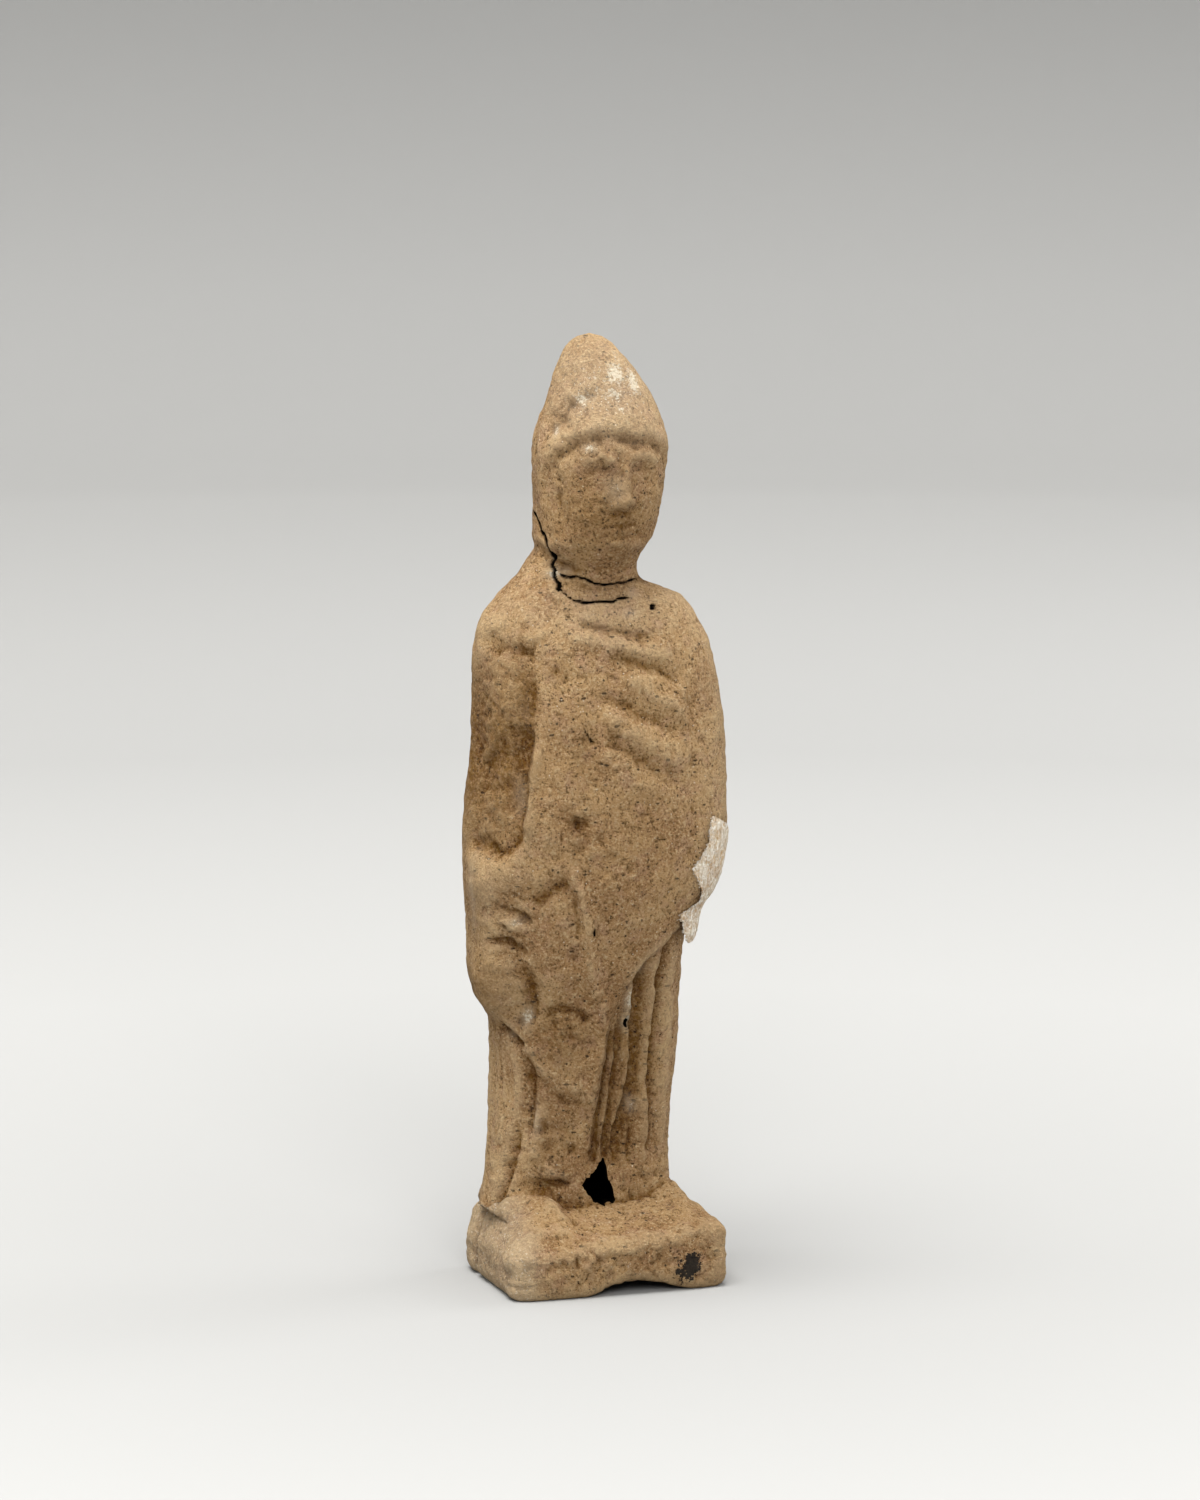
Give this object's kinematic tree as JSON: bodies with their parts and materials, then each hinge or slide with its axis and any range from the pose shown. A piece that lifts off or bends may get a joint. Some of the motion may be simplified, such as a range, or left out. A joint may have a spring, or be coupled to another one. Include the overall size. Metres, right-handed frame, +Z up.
{
  "type": "terracotta figurine",
  "caption": "Hollow mould-made clay figure of a standing draped person in a pointed cap on a low plinth, open underneath.",
  "frame": {"origin": "middle of the whole piece, on the surface that the plinth stands on", "axes": "+Z up along the figure, -Y the way the figure faces, +X its own left side"},
  "size_m": [0.0466, 0.028, 0.16],
  "materials": {
    "fired_clay": "unglazed, sandy and porous, worn, with grey dirt in the hollows and chalky deposits",
    "fibre_tissue": "thin white fibre tissue, stuck down, slightly see-through"
  },
  "bodies": {
    "root": {"figure": "fired_clay", "repair_tissue": "fibre_tissue"}
  },
  "joints": []
}
